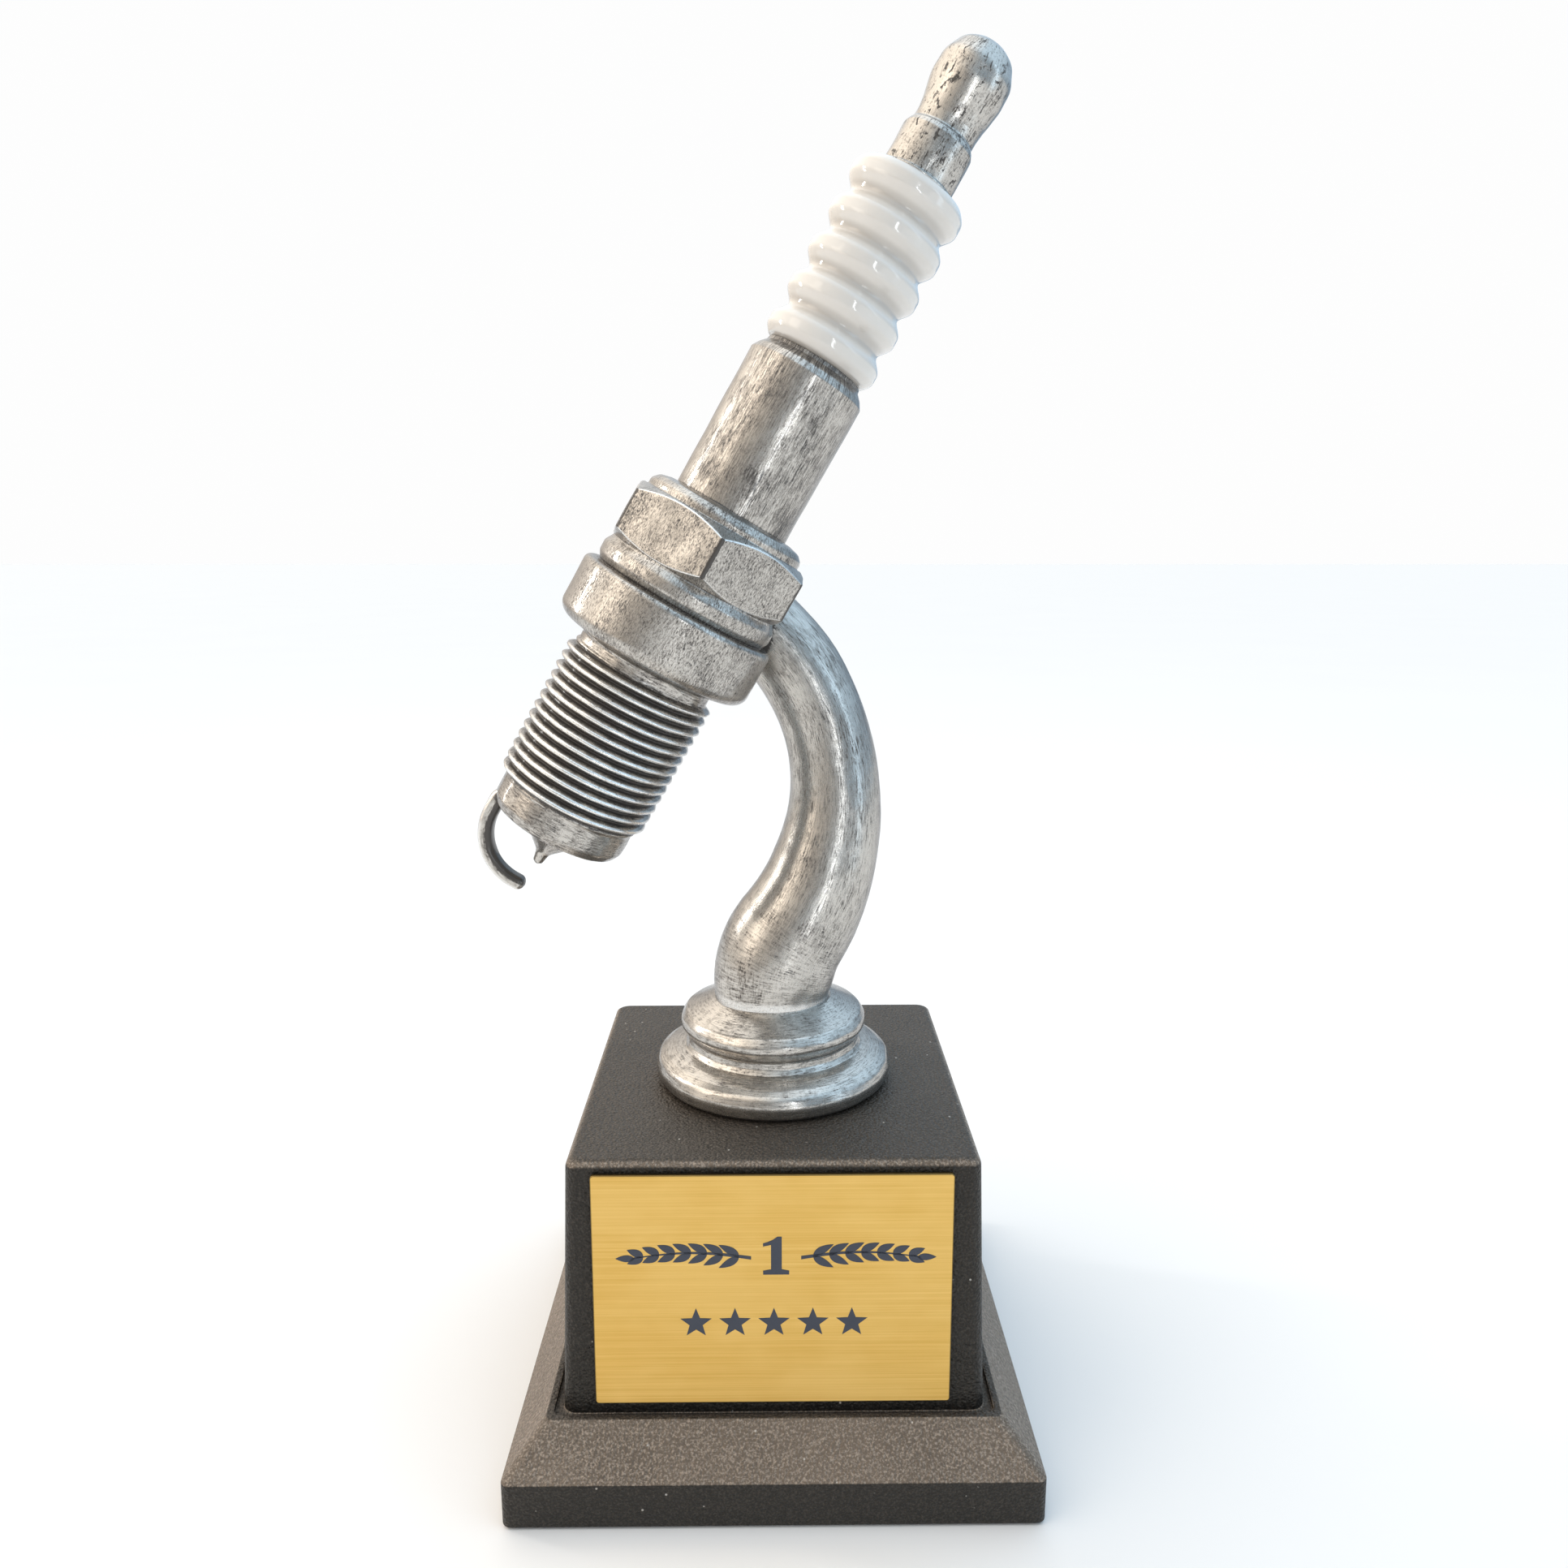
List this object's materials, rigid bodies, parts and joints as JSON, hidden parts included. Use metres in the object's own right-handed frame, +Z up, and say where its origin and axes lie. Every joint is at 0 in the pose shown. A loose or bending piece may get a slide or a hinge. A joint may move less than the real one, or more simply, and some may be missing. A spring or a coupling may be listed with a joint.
{
  "type": "spark plug trophy",
  "caption": "Award figure of a leaning spark plug on a curved stem and round pedestal, clamped to a weighted square base with a plate for engraving.",
  "frame": {"origin": "centre of the felt's flat resting face", "axes": "+Z up from the resting face; the plate faces -Y; the plug's terminal leans towards +X"},
  "size_m": [0.1036, 0.0956, 0.2523],
  "materials": {
    "antique_silver": "antique silver paint on cast resin: satin, fine dark brushing, near-black wash in recesses",
    "white_gloss": "glossy warm white lacquer",
    "black_base": "charcoal moulding with a pebble grain",
    "gold_plate": "brushed gold, clear lacquered, cut edges",
    "tape": "double-sided foam tape",
    "steel": "bright zinc",
    "brass_insert": "turned brass",
    "ballast": "cast cement",
    "cover_board": "smooth black sheet",
    "felt": "black wool felt"
  },
  "bodies": {
    "base": {"base_shell": "black_base", "base_weight": "ballast", "bottom_cover": "cover_board", "cover_screws": "steel", "felt_pad": "felt", "name_plate": "gold_plate", "plate_adhesive": "tape"},
    "figure": {"terminal_cap": "antique_silver", "ribbed_insulator": "white_gloss", "plug_barrel": "antique_silver", "hex_section": "antique_silver", "groove_ring": "antique_silver", "seat_collar": "antique_silver", "threaded_nose": "antique_silver", "centre_electrode": "antique_silver", "ground_electrode": "antique_silver", "core_rod": "steel", "stem_armature": "steel", "stem_dowel": "steel", "curved_stem": "antique_silver", "pedestal": "antique_silver", "threaded_insert": "brass_insert", "threaded_rod": "steel", "flat_washer": "steel", "lock_washer": "steel", "hex_nut": "steel"}
  },
  "joints": [
    {"name": "figure_swivel", "type": "hinge", "parent": "base", "child": "figure", "pos_m": [0, 0, 0.0637], "axis": [0, 0, 1], "continuous": true}
  ]
}
